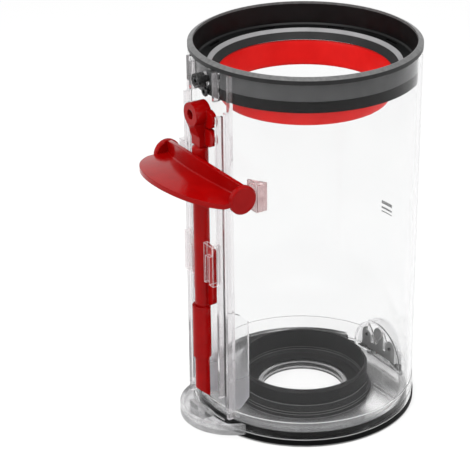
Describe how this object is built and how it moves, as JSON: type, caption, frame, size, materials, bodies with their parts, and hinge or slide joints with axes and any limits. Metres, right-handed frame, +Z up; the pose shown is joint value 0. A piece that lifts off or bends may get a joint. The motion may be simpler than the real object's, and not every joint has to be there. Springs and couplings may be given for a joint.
{
  "type": "cyclone dust bin",
  "caption": "Clear cylindrical dust bin with a dark collar and red wiper on top, a hinged base flap with a round inlet port, and a red push rod and handle on a side spine.",
  "frame": {"origin": "centre of the inlet port on the plane the bin stands on, on the cylinder's axis", "axes": "+Z up along the cylinder's axis, -Y towards the spine with the rod, +Y towards the flap's hinge"},
  "size_m": [0.1184, 0.1498, 0.2004],
  "materials": {
    "clear_plastic": "clear moulded plastic, glossy",
    "dark_plastic": "fine matt moulded plastic",
    "grey_plastic": "fine matt moulded plastic",
    "black_rubber": "matt",
    "grey_rubber": "matt",
    "red_rubber": "smooth, semi-matt",
    "red_plastic": "moulded plastic, semi-gloss",
    "steel": "bright zinc plated"
  },
  "bodies": {
    "bin": {"bin_body": "clear_plastic", "top_collar": "dark_plastic", "collar_band_seal": "black_rubber", "lip_seal": "grey_rubber", "shroud_wiper": "red_rubber", "spine_screws": "steel", "hinge_bracket": "grey_plastic", "hinge_pin": "steel", "hinge_screws": "steel", "guide_bracket_right": "clear_plastic", "guide_bracket_left": "clear_plastic", "rod_spring": "steel"},
    "release": {"release_rod": "red_plastic", "catch_plunger": "red_plastic", "rod_head": "red_plastic", "head_screw": "steel", "release_handle": "red_plastic"},
    "flap": {"base_flap": "clear_plastic", "base_rim_seal": "black_rubber", "port_cuff": "black_rubber"}
  },
  "joints": [
    {"name": "release_slide", "type": "slide", "parent": "bin", "child": "release", "axis": [0, 0, -1], "range_m": [0, 0.008], "stiffness_N_per_m": 400, "springref_m": -0.004, "deforming": ["rod_spring"]},
    {"name": "flap_hinge", "type": "hinge", "parent": "bin", "child": "flap", "pos_m": [0, 0.0575, 0.007], "axis": [1, 0, 0], "range_deg": [0, 95]}
  ]
}
